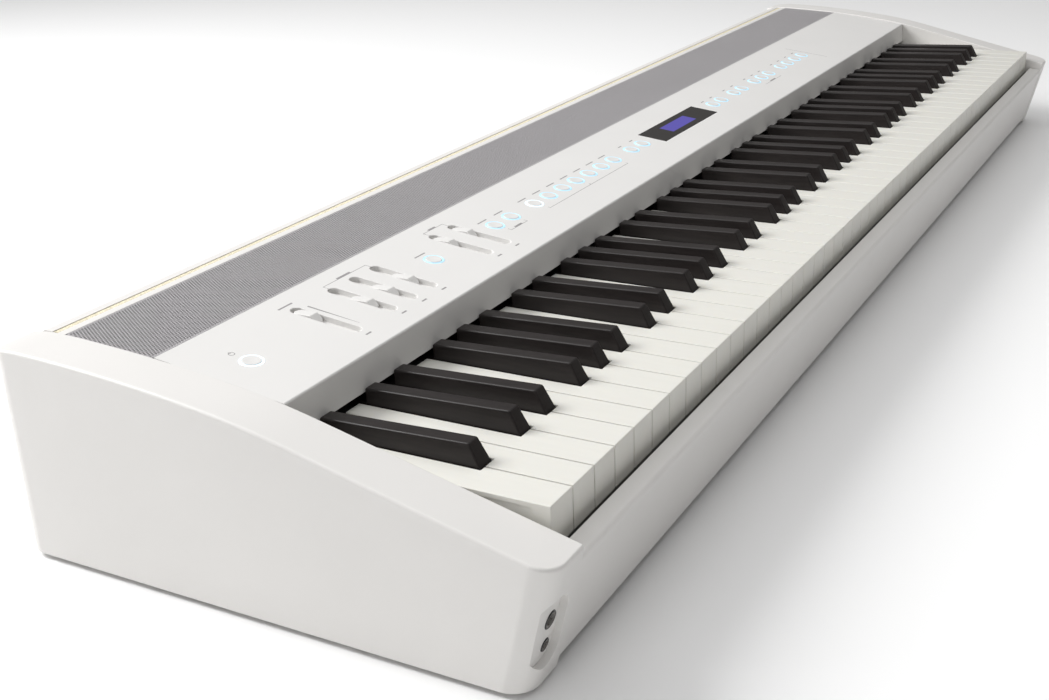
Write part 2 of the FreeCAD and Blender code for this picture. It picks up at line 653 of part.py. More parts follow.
# ---- sound, sockets, small parts
def speakers():
    """Two speakers face up under the grille: plate, cone and magnet."""
    solids = []
    y = (GRILLE_FRONT + GRILLE_REAR) / 2
    top = GRILLE_Z - 4
    for x in (-430.0, 430.0):
        plate = box(x - 75, x + 75, y - 29, y + 29, top - 3, top)
        cone = Part.makeCone(16, 26, 14, V(x, y, top - 17), V(0, 0, 1))
        magnet = rod(22, 14, V(x, y, top - 31), V(0, 0, 1))
        solids.append(plate.fuse([cone, magnet]))
    return Part.makeCompound(solids)


def jacks():
    """Socket bodies behind the case's holes."""
    solids = []
    headphone_jacks = ((PHONES_RADIUS, 6.0, PHONES_Z[0], 26), (MINI_RADIUS, 4.0, PHONES_Z[1], 14))
    for radius, outer, z, length in headphone_jacks:
        start = front_point(PHONES_X, z, FRONT_WALL + 0.3)
        solids.append(tube(outer, radius, length, start, front_normal() * -1))
    inside = BACK_Y - 4 - 3
    for place in SOCKET_ROW_X.values():
        solids.append(tube(6.0, PHONES_RADIUS, 20, V(place, inside, SOCKET_Z), V(0, -1, 0)))
    solids.append(tube(5.5, INLET_RADIUS, 12, V(INLET_X, inside, SOCKET_Z), V(0, -1, 0)))
    return Part.makeCompound(solids + usb_shell(inside))


def usb_shell(inside):
    """The USB socket's shell: four walls and a back plate."""
    left, right = USB_X - USB_SIZE[0] / 2, USB_X + USB_SIZE[0] / 2
    low, high = SOCKET_Z - USB_SIZE[1] / 2, SOCKET_Z + USB_SIZE[1] / 2
    mouth = inside - 11
    return [box(left - USB_WALL, left, mouth, inside, low - USB_WALL, high + USB_WALL),
            box(right, right + USB_WALL, mouth, inside, low - USB_WALL, high + USB_WALL),
            box(left, right, mouth, inside, high, high + USB_WALL),
            box(left, right, mouth, inside, low - USB_WALL, low),
            box(left - USB_WALL, right + USB_WALL, inside - 14, mouth,
                low - USB_WALL, high + USB_WALL)]


def rubber_feet():
    feet = [rod(FOOT_RADIUS, BOARD_BOTTOM, V(x, y, 0), V(0, 0, 1))
            for x in (-580, 0, 580) for y in (-125, 135)]
    return Part.makeCompound(feet)


def screw_places():
    return [(x, y) for x in range(-500, 501, 200) for y in (-135, 150)]


def case_screws():
    screws = []
    for x, y in screw_places():
        head = rod(3.5, 2.2, V(x, y, BOARD_BOTTOM - 2.2), V(0, 0, 1))
        shank = rod(1.5, 8.0, V(x, y, BOARD_BOTTOM - 0.5), V(0, 0, 1))
        screws.append(head.fuse(shank).removeSplitter())
    return Part.makeCompound(screws)


# ---- every piece by name
def all_pieces():
    pieces = {
        "left_end_block": left_end_block(),
        "right_end_block": right_end_block(),
        "bottom_board": bottom_board(),
        "front_rail": front_rail(),
        "control_panel": control_panel(),
        "speaker_grille": speaker_grille(),
        "rear_rail": rear_rail(),
        "back_cover": back_cover(),
        "key_frame": key_frame(),
        "key_felts": key_felts(),
        "button_light_rings": button_light_rings(),
        "display_window": display_window(),
        "display_module": display_module(),
        "circuit_boards": circuit_boards(),
        "speakers": speakers(),
        "jacks": jacks(),
        "rubber_feet": rubber_feet(),
        "case_screws": case_screws(),
    }
    for note, name in enumerate(NOTE_NAMES):
        pieces["keys_" + name] = key_group(note)
    for name, x in BUTTONS:
        pieces[name] = button(x)
    for name, x, rest in SLIDERS:
        pieces[name] = slider_cap(x, rest)
    return pieces


os.makedirs("parts", exist_ok=True)
for name, shape in all_pieces().items():
    shape.exportStep("parts/%s.step" % name)
    if not shape.isValid() or shape.Volume <= 0:
        print("check", name, shape.isValid(), shape.Volume)
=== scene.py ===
"""Portable digital piano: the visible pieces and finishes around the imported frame."""

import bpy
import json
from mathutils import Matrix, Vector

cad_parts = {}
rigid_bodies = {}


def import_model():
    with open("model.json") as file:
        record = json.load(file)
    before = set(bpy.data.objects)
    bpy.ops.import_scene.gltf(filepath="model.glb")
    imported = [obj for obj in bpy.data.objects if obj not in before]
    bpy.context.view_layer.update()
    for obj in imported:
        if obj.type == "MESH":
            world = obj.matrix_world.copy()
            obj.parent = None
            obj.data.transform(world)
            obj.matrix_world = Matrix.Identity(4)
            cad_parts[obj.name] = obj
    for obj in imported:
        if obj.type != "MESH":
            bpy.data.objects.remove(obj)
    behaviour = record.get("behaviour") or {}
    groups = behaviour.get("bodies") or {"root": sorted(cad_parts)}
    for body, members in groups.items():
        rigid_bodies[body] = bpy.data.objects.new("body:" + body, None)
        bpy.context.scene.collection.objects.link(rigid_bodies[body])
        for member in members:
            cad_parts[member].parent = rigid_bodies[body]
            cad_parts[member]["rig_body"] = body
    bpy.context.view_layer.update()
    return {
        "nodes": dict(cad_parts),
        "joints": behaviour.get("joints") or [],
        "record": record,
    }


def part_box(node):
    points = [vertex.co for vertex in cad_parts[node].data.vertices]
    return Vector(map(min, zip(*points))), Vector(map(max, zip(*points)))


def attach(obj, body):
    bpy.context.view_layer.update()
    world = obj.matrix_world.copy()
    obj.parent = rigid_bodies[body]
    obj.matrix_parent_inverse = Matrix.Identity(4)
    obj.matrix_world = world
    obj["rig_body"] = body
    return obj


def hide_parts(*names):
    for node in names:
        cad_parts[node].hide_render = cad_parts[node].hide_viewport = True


bl_info = {
    "name": "Portable Digital Piano",
    "version": (1, 0, 0),
    "blender": (4, 5, 0),
    "location": "View3D > Sidebar > Piano",
    "description": "Builds the keys, controls, grille and finishes of a slab piano",
    "category": "Object",
}
import json
from math import atan2, pi, radians, sin, tan

import bmesh
import bpy
from bpy.props import (FloatProperty, FloatVectorProperty, IntProperty, PointerProperty)
from mathutils import Euler, Matrix, Vector

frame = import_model()

# ---- what the frame says
MM = 0.001
NOTES = ("c", "c_sharp", "d", "d_sharp", "e", "f", "f_sharp", "g", "g_sharp", "a", "a_sharp", "b")
BLACK_NOTES = (1, 3, 6, 8, 10)
WHITE_COUNT = 52
KEY_COUNT = 88
KEYS_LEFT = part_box("keys_a")[0][0] - 0.5 * MM
KEYS_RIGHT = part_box("keys_c")[1][0] + 0.5 * MM
WHITE_PITCH = (KEYS_RIGHT - KEYS_LEFT) / WHITE_COUNT
KEY_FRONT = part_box("keys_a")[0][1]
KEY_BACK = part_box("keys_a")[1][1]
KEY_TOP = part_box("keys_a")[1][2]
KEY_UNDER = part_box("keys_a")[0][2]
BLACK_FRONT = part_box("keys_c_sharp")[0][1]
BLACK_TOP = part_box("keys_c_sharp")[1][2]
PANEL_LOW, PANEL_HIGH = (Vector(c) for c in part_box("control_panel"))
PANEL_RUN, PANEL_RISE = 86 * MM, 11.2 * MM
PANEL_EDGE = Vector((0, PANEL_HIGH.y - PANEL_RUN, PANEL_HIGH.z - PANEL_RISE))
FALL_GAP = 0.9 * MM
INK = 0.02 * MM
GRILLE_LOW, GRILLE_HIGH = (Vector(c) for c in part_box("speaker_grille"))
WINDOW_LOW, WINDOW_HIGH = (Vector(c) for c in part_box("display_window"))
MOUNTS = {m["name"]: m for m in frame["record"]["mounts"]}
PUSH_AXES = {j["child"]: Vector(j["axis"]) for j in frame["joints"]
             if j["name"].startswith("push_")}
BUTTONS = list(PUSH_AXES)
SLIDERS = [j["child"] for j in frame["joints"] if j["name"].startswith("slide_")]
PANEL_OUT = -PUSH_AXES[BUTTONS[0]].normalized()
PANEL_TILT = atan2(-PANEL_OUT.y, PANEL_OUT.z)


# ---- settings
def length(name, default, text):
    return FloatProperty(name=name, default=default, min=0, unit="LENGTH", precision=5,
                         description=text)


def colour(name, default, text):
    return FloatVectorProperty(name=name, default=default, size=3, subtype="COLOR", min=0, max=1,
                               description=text)


class PianoKeySizes(bpy.types.PropertyGroup):
    """Shapes of the white and black keys."""
    cap_thick: length("Cap", 2.6 * MM, "Thickness of the white cap")
    front_block: length("Front block", 10 * MM, "Depth of the solid front of a white key")
    side_step: length("Side step", 0.45 * MM, "How far the key's body stands in from its cap")
    white_edge: length("White edge", 0.55 * MM, "Rounding of the white caps")
    black_base: length("Black base", 11.6 * MM, "Width of a black key at the white surface")
    black_top: length("Black top", 9.6 * MM, "Width of a black key at its top")
    black_rear: length("Black rear height", 8.8 * MM,
                       "Height of a black key where it meets the panel")
    black_slope: length("Black slope", 6.5 * MM, "Length of the sloping front of a black key")
    black_edge: length("Black edge", 1.1 * MM, "Rounding along a black key's top")
    clearance: length("Clearance", 1.1 * MM, "Gap beside a black key")
    # Behind the cap each key's tail is near-black painted shade, where the key runs on under the
    # panel into shade.
    seen: length("Cap length", 150.5 * MM,
                 "Length of a white cap; its dark tail runs on under the panel")


class PianoGrilleSizes(bpy.types.PropertyGroup):
    """The perforated sheet over the speakers."""
    hole_pitch: length("Hole pitch", 2.08 * MM, "Distance between holes along the case")
    web: length("Web", 0.65 * MM, "Width of metal between holes")
    sheet: length("Sheet", 0.6 * MM, "Thickness of the sheet")
    margin: length("Margin", 1.0 * MM, "Plain border of the sheet")
    cloth_drop: length("Cloth drop", 3.0 * MM, "How far the speaker cloth lies under the sheet")


class PianoControlSizes(bpy.types.PropertyGroup):
    """Buttons, light rings and slider caps."""
    button_radius: length("Button radius", 5.5 * MM, "Radius of a button")
    ring_inner: length("Ring inner", 5.75 * MM, "Inner radius of a light ring")
    ring_outer: length("Ring outer", 7.0 * MM, "Outer radius of a light ring")
    cap_length: length("Cap length", 19 * MM, "Length of a slider cap")
    cap_width: length("Cap width", 7.2 * MM, "Width of a slider cap")
    cap_rise: length("Cap rise", 1.0 * MM, "Height of a cap's ridge over the panel")
    cap_ridge: length("Cap ridge", 6.2 * MM, "Distance of the ridge from a cap's front")
    cap_edge: length("Cap edge", 0.4 * MM, "Rounding of a slider cap")
    print_width: length("Printed line", 0.45 * MM, "Width of a printed line")
    steps: IntProperty(name="Steps", default=40, min=12, description="Segments round a button")


class PianoFinish(bpy.types.PropertyGroup):
    """Colours of the finishes."""
    case: colour("Case", (0.77, 0.755, 0.735), "Moulded case")
    panel: colour("Panel", (0.76, 0.75, 0.735), "Control panel")
    ivory: colour("White keys", (0.76, 0.75, 0.70), "White key caps")
    ebony: colour("Black keys", (0.017, 0.0135, 0.013), "Black keys")
    grille: colour("Grille", (0.46, 0.445, 0.455), "Perforated sheet")
    cream: colour("Cream strip", (0.72, 0.66, 0.50), "Strip in the music rest slot")
    ring: colour("Ring light", (0.50, 0.78, 0.95), "Light rings")
    screen: colour("Screen", (0.070, 0.055, 0.38), "Lit screen")
    ink: colour("Print", (0.30, 0.29, 0.29), "Printed lines")


class PianoStage(bpy.types.PropertyGroup):
    """Camera, lights and floor."""
    eye: FloatVectorProperty(name="Camera", default=(-1.0953, -0.4193, 0.3942), size=3,
                             subtype="TRANSLATION", description="Camera position")
    turn: FloatVectorProperty(name="Camera turn", size=3, subtype="EULER",
                              default=(radians(67.397), radians(2.216), radians(-61.4526)),
                              description="Camera rotation")
    lens: FloatProperty(name="Lens", default=46.36, min=1, description="Focal length in mm")
    shift: FloatVectorProperty(name="Shift", default=(-0.0044, 0.0060), size=2,
                               description="Lens shift")
    floor: colour("Floor", (0.93, 0.93, 0.93), "Floor and backdrop")


GROUPS = (("piano_keys", PianoKeySizes), ("piano_grille", PianoGrilleSizes),
          ("piano_controls", PianoControlSizes), ("piano_finish", PianoFinish),
          ("piano_stage", PianoStage))


# ---- mesh helpers
def finished(bm, name, body, material, replaces=(), smooth=35):
    """Turn a bmesh into a piece that rides on a body."""
    bm.normal_update()
    for face in bm.faces:
        face.smooth = True
    for edge in bm.edges:
        edge.smooth = edge.is_manifold and edge.calc_face_angle(0) < radians(smooth)
    mesh = bpy.data.meshes.new(name)
    bm.to_mesh(mesh)
    bm.free()
    piece = bpy.data.objects.new(name, mesh)
    bpy.context.scene.collection.objects.link(piece)
    for item in material if isinstance(material, (list, tuple)) else [material]:
        mesh.materials.append(item)
    weighted = piece.modifiers.new("even shading", "WEIGHTED_NORMAL")
    weighted.keep_sharp = True
    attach(piece, body)
    if replaces:
        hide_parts(*replaces)
    return piece


def add_box(bm, low, high):
    """A box between two corners; returns its vertices."""
    low, high = Vector(low), Vector(high)
    size = high - low
    fit = Matrix.Translation((low + high) / 2) @ Matrix.Diagonal((*size, 1))
    return bmesh.ops.create_cube(bm, size=1, matrix=fit)["verts"]


def add_plan(bm, points, z0, z1):
    """A flat outline drawn upwards; returns its top face."""
    face = bm.faces.new([bm.verts.new((x, y, z0)) for x, y in points])
    face.normal_update()
    if face.normal.z > 0:
        face.normal_flip()
    drawn = bmesh.ops.extrude_face_region(bm, geom=[face])["geom"]
    verts = [g for g in drawn if isinstance(g, bmesh.types.BMVert)]
    bmesh.ops.translate(bm, verts=verts, vec=(0, 0, z1 - z0))
    return [g for g in drawn if isinstance(g, bmesh.types.BMFace)][0]


def soften(bm, edges, width, segments=2):
    bmesh.ops.bevel(bm, geom=list(edges), offset=width, offset_type="OFFSET", affect="EDGES",
                    segments=segments, profile=0.5, material=-1, clamp_overlap=True)


def lathe(bm, profile, steps, place):
    """A closed ring or disc: a profile of (radius, height) turned about the local Z axis."""
    before = set(bm.verts)
    verts = [bm.verts.new((r, 0, z)) for r, z in profile]
    edges = [bm.edges.new(pair) for pair in zip(verts, verts[1:])]
    bmesh.ops.spin(bm, geom=verts + edges, cent=(0, 0, 0), axis=(0, 0, 1), angle=2 * pi,
                   steps=steps, use_merge=True)
    made = [v for v in bm.verts if v not in before]
    bmesh.ops.remove_doubles(bm, verts=made, dist=1e-6)
    made = [v for v in bm.verts if v not in before]
    faces = list({f for v in made for f in v.link_faces})
    bmesh.ops.recalc_face_normals(bm, faces=faces)
    bmesh.ops.transform(bm, matrix=place, verts=made)


def panel_place(x, up, out=0.0):
    """A matrix on the panel: local X along the case, Y up its slope, Z out of its surface."""
    turn = Matrix.Rotation(PANEL_TILT, 4, "X")
    return Matrix.Translation(PANEL_EDGE + turn @ Vector((x, up, out))) @ turn


def panel_spot(node):
    """Where a control sits: its middle along the case and up the panel."""
    low, high = (Vector(c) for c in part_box(node))
    local = panel_place(0, 0).inverted() @ ((low + high) / 2)
    return local.x, local.y


def fall_y(z):
    """Where the panel's turned-down front stands at height z."""
    lean = (PANEL_EDGE.y - PANEL_LOW.y) / (PANEL_EDGE.z - PANEL_LOW.z)
    return PANEL_EDGE.y - (PANEL_EDGE.z - z) * lean


def close_copy(node, name, material):
    """The CAD shape, welded and evenly shaded."""
    bm = bmesh.new()
    bm.from_mesh(frame["nodes"][node].data)
    bmesh.ops.remove_doubles(bm, verts=bm.verts, dist=2e-6)
    body = frame["nodes"][node]["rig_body"]
    return finished(bm, name, body, material, [node])


# ---- materials
def new_material(name, base, roughness, metallic=0.0, specular=0.5):
    material = bpy.data.materials.new(name)
    material.use_nodes = True
    shader = material.node_tree.nodes["Principled BSDF"]
    shader.inputs["Base Color"].default_value = (*base, 1)
    shader.inputs["Roughness"].default_value = roughness
    shader.inputs["Metallic"].default_value = metallic
    shader.inputs["Specular IOR Level"].default_value = specular
    return material, material.node_tree, shader


def link(tree, source, output, target, socket):
    tree.links.new(source.outputs[output], target.inputs[socket])


def noise(tree, scale, detail=4.0, stretch=(1, 1, 1)):
    """Noise on Object coordinates, stretched along the axes."""
    place = tree.nodes.new("ShaderNodeTexCoord")
    mapping = tree.nodes.new("ShaderNodeMapping")
    mapping.inputs["Scale"].default_value = stretch
    texture = tree.nodes.new("ShaderNodeTexNoise")
    texture.inputs["Scale"].default_value = scale
    texture.inputs["Detail"].default_value = detail
    link(tree, place, "Object", mapping, "Vector")
    link(tree, mapping, "Vector", texture, "Vector")
    return texture


def tint(tree, shader, texture, base, spread):
    """Vary the base colour a little by the texture."""
    ramp = tree.nodes.new("ShaderNodeValToRGB")
    ramp.color_ramp.elements[0].position = 0.3
    ramp.color_ramp.elements[1].position = 0.7
    ramp.color_ramp.elements[0].color = (*[c * (1 - spread) for c in base], 1)
    ramp.color_ramp.elements[1].color = (*[min(1, c * (1 + spread)) for c in base], 1)
    link(tree, texture, "Fac", ramp, "Fac")
    link(tree, ramp, "Color", shader, "Base Color")


def dull(tree, shader, texture, low, high):
    """Vary roughness between two values by the texture."""
    span = tree.nodes.new("ShaderNodeMapRange")
    span.inputs["To Min"].default_value = low
    span.inputs["To Max"].default_value = high
    link(tree, texture, "Fac", span, "Value")
    link(tree, span, "Result", shader, "Roughness")


def relief(tree, shader, texture, depth, strength=1.0):
    bump = tree.nodes.new("ShaderNodeBump")
    bump.inputs["Distance"].default_value = depth
    bump.inputs["Strength"].default_value = strength
    link(tree, texture, "Fac", bump, "Height")
    link(tree, bump, "Normal", shader, "Normal")


def moulded(name, base, roughness=0.42, grain=2600.0, depth=0.00002, spread=0.012):
    """Moulded plastic: fine spark texture, slight cloudiness in colour and gloss."""
    material, tree, shader = new_material(name, base, roughness)
    tint(tree, shader, noise(tree, 14.0), base, spread)
    dull(tree, shader, noise(tree, 60.0), roughness - 0.05, roughness + 0.06)
    relief(tree, shader, noise(tree, grain, 2.0), depth, 0.5)
    return material


def ivory_finish(finish):
    material, tree, shader = new_material("ivory feel", finish.ivory, 0.38)
    tint(tree, shader, noise(tree, 240.0, 6.0, (1, 0.12, 1)), finish.ivory, 0.012)
    dull(tree, shader, noise(tree, 900.0, 3.0, (1, 0.15, 1)), 0.32, 0.46)
    relief(tree, shader, noise(tree, 1800.0, 3.0, (1, 0.15, 1)), 0.000015, 0.5)
    shader.inputs["Subsurface Weight"].default_value = 0.06
    shader.inputs["Subsurface Radius"].default_value = (0.002, 0.0016, 0.001)
    return material


def ebony_finish(finish):
    material, tree, shader = new_material("ebony feel", finish.ebony, 0.33, specular=0.35)
    tint(tree, shader, noise(tree, 500.0, 6.0, (1, 0.08, 1)), finish.ebony, 0.25)
    dull(tree, shader, noise(tree, 1400.0, 4.0, (1, 0.06, 1)), 0.27, 0.45)
    relief(tree, shader, noise(tree, 2400.0, 4.0, (1, 0.05, 1)), 0.00002, 0.6)
    return material


# Near-black finish for the key tails: painted shade for the keys running on under the panel.
def painted_shade_tail_finish():
    return moulded("key tail painted shade", (0.03, 0.03, 0.03), 0.6)


def glow(name, base, strength):
    """Translucent plastic lit from below."""
    material, tree, shader = new_material(name, [c * 0.5 for c in base], 0.4)
    dull(tree, shader, noise(tree, 400.0), 0.32, 0.46)
    shader.inputs["Emission Color"].default_value = (*base, 1)
    shader.inputs["Emission Strength"].default_value = strength
    return material


def window_finish(finish):
    """Dark clear window with the lit screen glowing through its middle left part."""
    material, tree, shader = new_material("display window", (0.035, 0.033, 0.032), 0.2,
                                          specular=0.12)
    spot = tree.nodes.new("ShaderNodeTexCoord")
    middle = (WINDOW_LOW + WINDOW_HIGH) / 2
    mapping = tree.nodes.new("ShaderNodeMapping")
    mapping.inputs["Location"].default_value = (-(middle.x - 2 * MM), -middle.y, 0)
    link(tree, spot, "Object", mapping, "Vector")
    split = tree.nodes.new("ShaderNodeSeparateXYZ")
    link(tree, mapping, "Vector", split, "Vector")
    inside = None
    for axis, half in (("X", 26 * MM), ("Y", 6.6 * MM)):
        size = tree.nodes.new("ShaderNodeMath")
        size.operation = "ABSOLUTE"
        link(tree, split, axis, size, 0)
        edge = tree.nodes.new("ShaderNodeMapRange")
        edge.interpolation_type = "SMOOTHSTEP"
        edge.inputs["From Min"].default_value = half + 0.4 * MM
        edge.inputs["From Max"].default_value = half - 0.4 * MM
        link(tree, size, "Value", edge, "Value")
        if inside is None:
            inside = edge
            continue
        both = tree.nodes.new("ShaderNodeMath")
        both.operation = "MULTIPLY"
        link(tree, inside, "Result", both, 0)
        link(tree, edge, "Result", both, 1)
        inside = both
    lit = tree.nodes.new("ShaderNodeMix")
    lit.data_type = "RGBA"
    lit.inputs["A"].default_value = (0, 0, 0, 1)
    lit.inputs["B"].default_value = (*finish.screen, 1)
    link(tree, inside, "Value", lit, "Factor")
    link(tree, lit, "Result", shader, "Emission Color")
    shader.inputs["Emission Strength"].default_value = 1.0
    return material


def felt_finish(name, base):
    material, tree, shader = new_material(name, base, 0.95, specular=0.2)
    tint(tree, shader, noise(tree, 900.0, 8.0), base, 0.3)
    relief(tree, shader, noise(tree, 1500.0, 6.0), 0.0003, 0.8)
    return material


def metal_finish(name, base, roughness):
    material, tree, shader = new_material(name, base, roughness, metallic=1.0)
    dull(tree, shader, noise(tree, 300.0, 6.0, (0.05, 1, 1)), roughness - 0.1, roughness + 0.12)
    return material


# ---- keyboard
def note_of(key):
    return (key + 9) % 12


def black_centres():
    """Black key centres: each group of naturals is divided evenly at the back."""
    fifth, seventh = 3 * WHITE_PITCH / 5, 4 * WHITE_PITCH / 7
    offsets = {1: 1.5 * fifth, 3: 3.5 * fifth}
    for note, step in ((6, 1.5), (8, 3.5), (10, 5.5)):
        offsets[note] = 3 * WHITE_PITCH + step * seventh
    centres = {}
    for octave in range(-1, 8):
        start = KEYS_LEFT + (2 + 7 * octave) * WHITE_PITCH
        for note, offset in offsets.items():
            key = 12 * octave + note + 3
            if 0 <= key < KEY_COUNT:
                centres[key] = start + offset - 0.8 * MM
    return centres


def white_plan(key, centres, sizes, inset, front, back):
    """Outline of a white key: a wide head and a neck between its black neighbours."""
    index = sum(1 for k in range(key) if note_of(k) not in BLACK_NOTES)
    left = KEYS_LEFT + index * WHITE_PITCH + 0.5 * MM + inset
    right = KEYS_LEFT + (index + 1) * WHITE_PITCH - 0.5 * MM - inset
    half_slot = sizes.black_base / 2 + sizes.clearance + inset
    shoulder = BLACK_FRONT - sizes.clearance - inset
    neck_left = centres[key - 1] + half_slot if key - 1 in centres else left
    neck_right = centres[key + 1] - half_slot if key + 1 in centres else right
    points = [(left, front), (right, front)]
    if neck_right < right:
        points += [(right, shoulder), (neck_right, shoulder)]
    points += [(neck_right, back), (neck_left, back)]
    if neck_left > left:
        points += [(neck_left, shoulder), (left, shoulder)]
    return points


def add_white_key(bm, key, centres, sizes):
    cap_under = KEY_TOP - sizes.cap_thick
    seen_end = KEY_FRONT + sizes.seen
    cap = white_plan(key, centres, sizes, 0, KEY_FRONT, seen_end)
    top = add_plan(bm, cap, cap_under, KEY_TOP)
    rim = [e for e in top.edges if not all(v.co.y > seen_end - MM for v in e.verts)]
    corners = [e for v in top.verts for e in v.link_edges
               if e not in top.edges and abs(v.co.y - KEY_FRONT) < 1e-6]
    soften(bm, rim + corners, sizes.white_edge, 3)
    left, right = cap[0][0], cap[1][0]
    front = add_box(bm, (left, KEY_FRONT, KEY_UNDER),
                    (right, KEY_FRONT + sizes.front_block, cap_under))
    upright = [e for e in {e for v in front for e in v.link_edges}
               if abs(e.verts[0].co.z - e.verts[1].co.z) > MM
               and abs(e.verts[0].co.y - KEY_FRONT) < 1e-6]
    soften(bm, upright, sizes.white_edge, 3)
    body = white_plan(key, centres, sizes, sizes.side_step, KEY_FRONT + sizes.front_block, seen_end)
    add_plan(bm, body, KEY_UNDER, cap_under)
    neck = [x for x, y in body if y > seen_end - MM]
    # The neck behind the cap gets the dark tail material: painted shade where the key runs under
    # the panel.
    before = set(bm.faces)
    add_box(bm, (min(neck), seen_end, KEY_UNDER), (max(neck), KEY_BACK, KEY_TOP - 2 * MM))
    for face in set(bm.faces) - before:
        face.material_index = 1


def add_black_key(bm, centre, sizes):
    """A black key: straight body, tapered top with soft edges that ends in front of the fall."""
    half, half_top = sizes.black_base / 2, sizes.black_top / 2
    add_box(bm, (centre - half, BLACK_FRONT, KEY_UNDER), (centre + half, KEY_BACK, KEY_TOP))
    top = add_box(bm, (centre - half, BLACK_FRONT, KEY_TOP), (centre + half, KEY_BACK, BLACK_TOP))
    for vert in top:
        behind, above = vert.co.y > BLACK_FRONT + MM, vert.co.z > KEY_TOP + MM
        if above and behind:
            vert.co.z = KEY_TOP + sizes.black_rear
        if above:
            taper = (half - half_top) * (vert.co.z - KEY_TOP) / (BLACK_TOP - KEY_TOP)
            vert.co.x += -taper if vert.co.x > centre else taper
        if behind:
            vert.co.y = fall_y(vert.co.z) - FALL_GAP
        elif above:
            vert.co.y = BLACK_FRONT + sizes.black_slope
    edges = {e for v in top for e in v.link_edges
             if max(w.co.z for w in e.verts) > KEY_TOP + MM}
    soften(bm, edges, sizes.black_edge, 3)


class PIANO_OT_white_keys(bpy.types.Operator):
    """Build the 52 white keys, one piece for each note name"""
    bl_idname = "piano.white_keys"
    bl_label = "White keys"

    def execute(self, context):
        sizes, finish = context.scene.piano_keys, context.scene.piano_finish
        centres = black_centres()
        material = [ivory_finish(finish), painted_shade_tail_finish()]
        for note, name in enumerate(NOTES):
            if note in BLACK_NOTES:
                continue
            bm = bmesh.new()
            for key in range(KEY_COUNT):
                if note_of(key) == note:
                    add_white_key(bm, key, centres, sizes)
            node = "keys_" + name
            finished(bm, "white_keys_" + name, node, material, [node])
        return {"FINISHED"}


class PIANO_OT_black_keys(bpy.types.Operator):
    """Build the 36 black keys, one piece for each note name"""
    bl_idname = "piano.black_keys"
    bl_label = "Black keys"

    def execute(self, context):
        sizes, finish = context.scene.piano_keys, context.scene.piano_finish
        material = ebony_finish(finish)
        for note in BLACK_NOTES:
            bm = bmesh.new()
            for key, centre in black_centres().items():
                if note_of(key) == note:
                    add_black_key(bm, centre, sizes)
            node = "keys_" + NOTES[note]
            finished(bm, "black_keys_" + NOTES[note], node, material, [node])
        return {"FINISHED"}


# ---- case
class PIANO_OT_case(bpy.types.Operator):
    """Shade the moulded case, and give the hidden parts their finishes"""
    bl_idname = "piano.case"
    bl_label = "Case"

    def execute(self, context):
        finish = context.scene.piano_finish
        white = moulded("case white", finish.case)
        panel = moulded("panel white", finish.panel, 0.45)
        for node in ("left_end_block", "right_end_block", "front_rail", "rear_rail", "back_cover"):
            close_copy(node, node + "_shell", white)
        close_copy("control_panel", "control_panel_skin", panel)
        plain = {
            "bottom_board": moulded("base board", (0.03, 0.03, 0.03), 0.7),
            "key_frame": metal_finish("zinc sheet", (0.55, 0.55, 0.56), 0.4),
            "key_felts": felt_finish("key felt", (0.30, 0.02, 0.02)),
            "display_module": moulded("screen carrier", (0.02, 0.02, 0.02), 0.5),
            "circuit_boards": moulded("board green", (0.02, 0.10, 0.04), 0.4),
            "speakers": moulded("speaker cone", (0.02, 0.02, 0.02), 0.8),
            "jacks": moulded("socket black", (0.012, 0.012, 0.012), 0.4),
            "rubber_feet": moulded("rubber", (0.02, 0.02, 0.02), 0.8),
            "case_screws": metal_finish("screw steel", (0.25, 0.25, 0.26), 0.35),
        }
        for node, material in plain.items():
            for place in frame["nodes"][node].material_slots:
                place.material = material
        return {"FINISHED"}


class PIANO_OT_rest_strip(bpy.types.Operator):
    """Lay the cream strip in the music rest slot"""
    bl_idname = "piano.rest_strip"
    bl_label = "Rest strip"

    def execute(self, context):
        bm = bmesh.new()
        low, high = GRILLE_LOW, GRILLE_HIGH
        setback, width, depth, below = 6.1 * MM, 4.2 * MM, 6.5 * MM, 0.1 * MM
        front, top = high.y + setback, high.z - below
        verts = add_box(bm, (low.x + MM, front, top - depth), (high.x - MM, front + width, top))
        soften(bm, {e for v in verts for e in v.link_edges}, 0.4 * MM)
        cream = felt_finish("cream strip", context.scene.piano_finish.cream)
        finished(bm, "music_rest_strip", "case", cream)
        return {"FINISHED"}


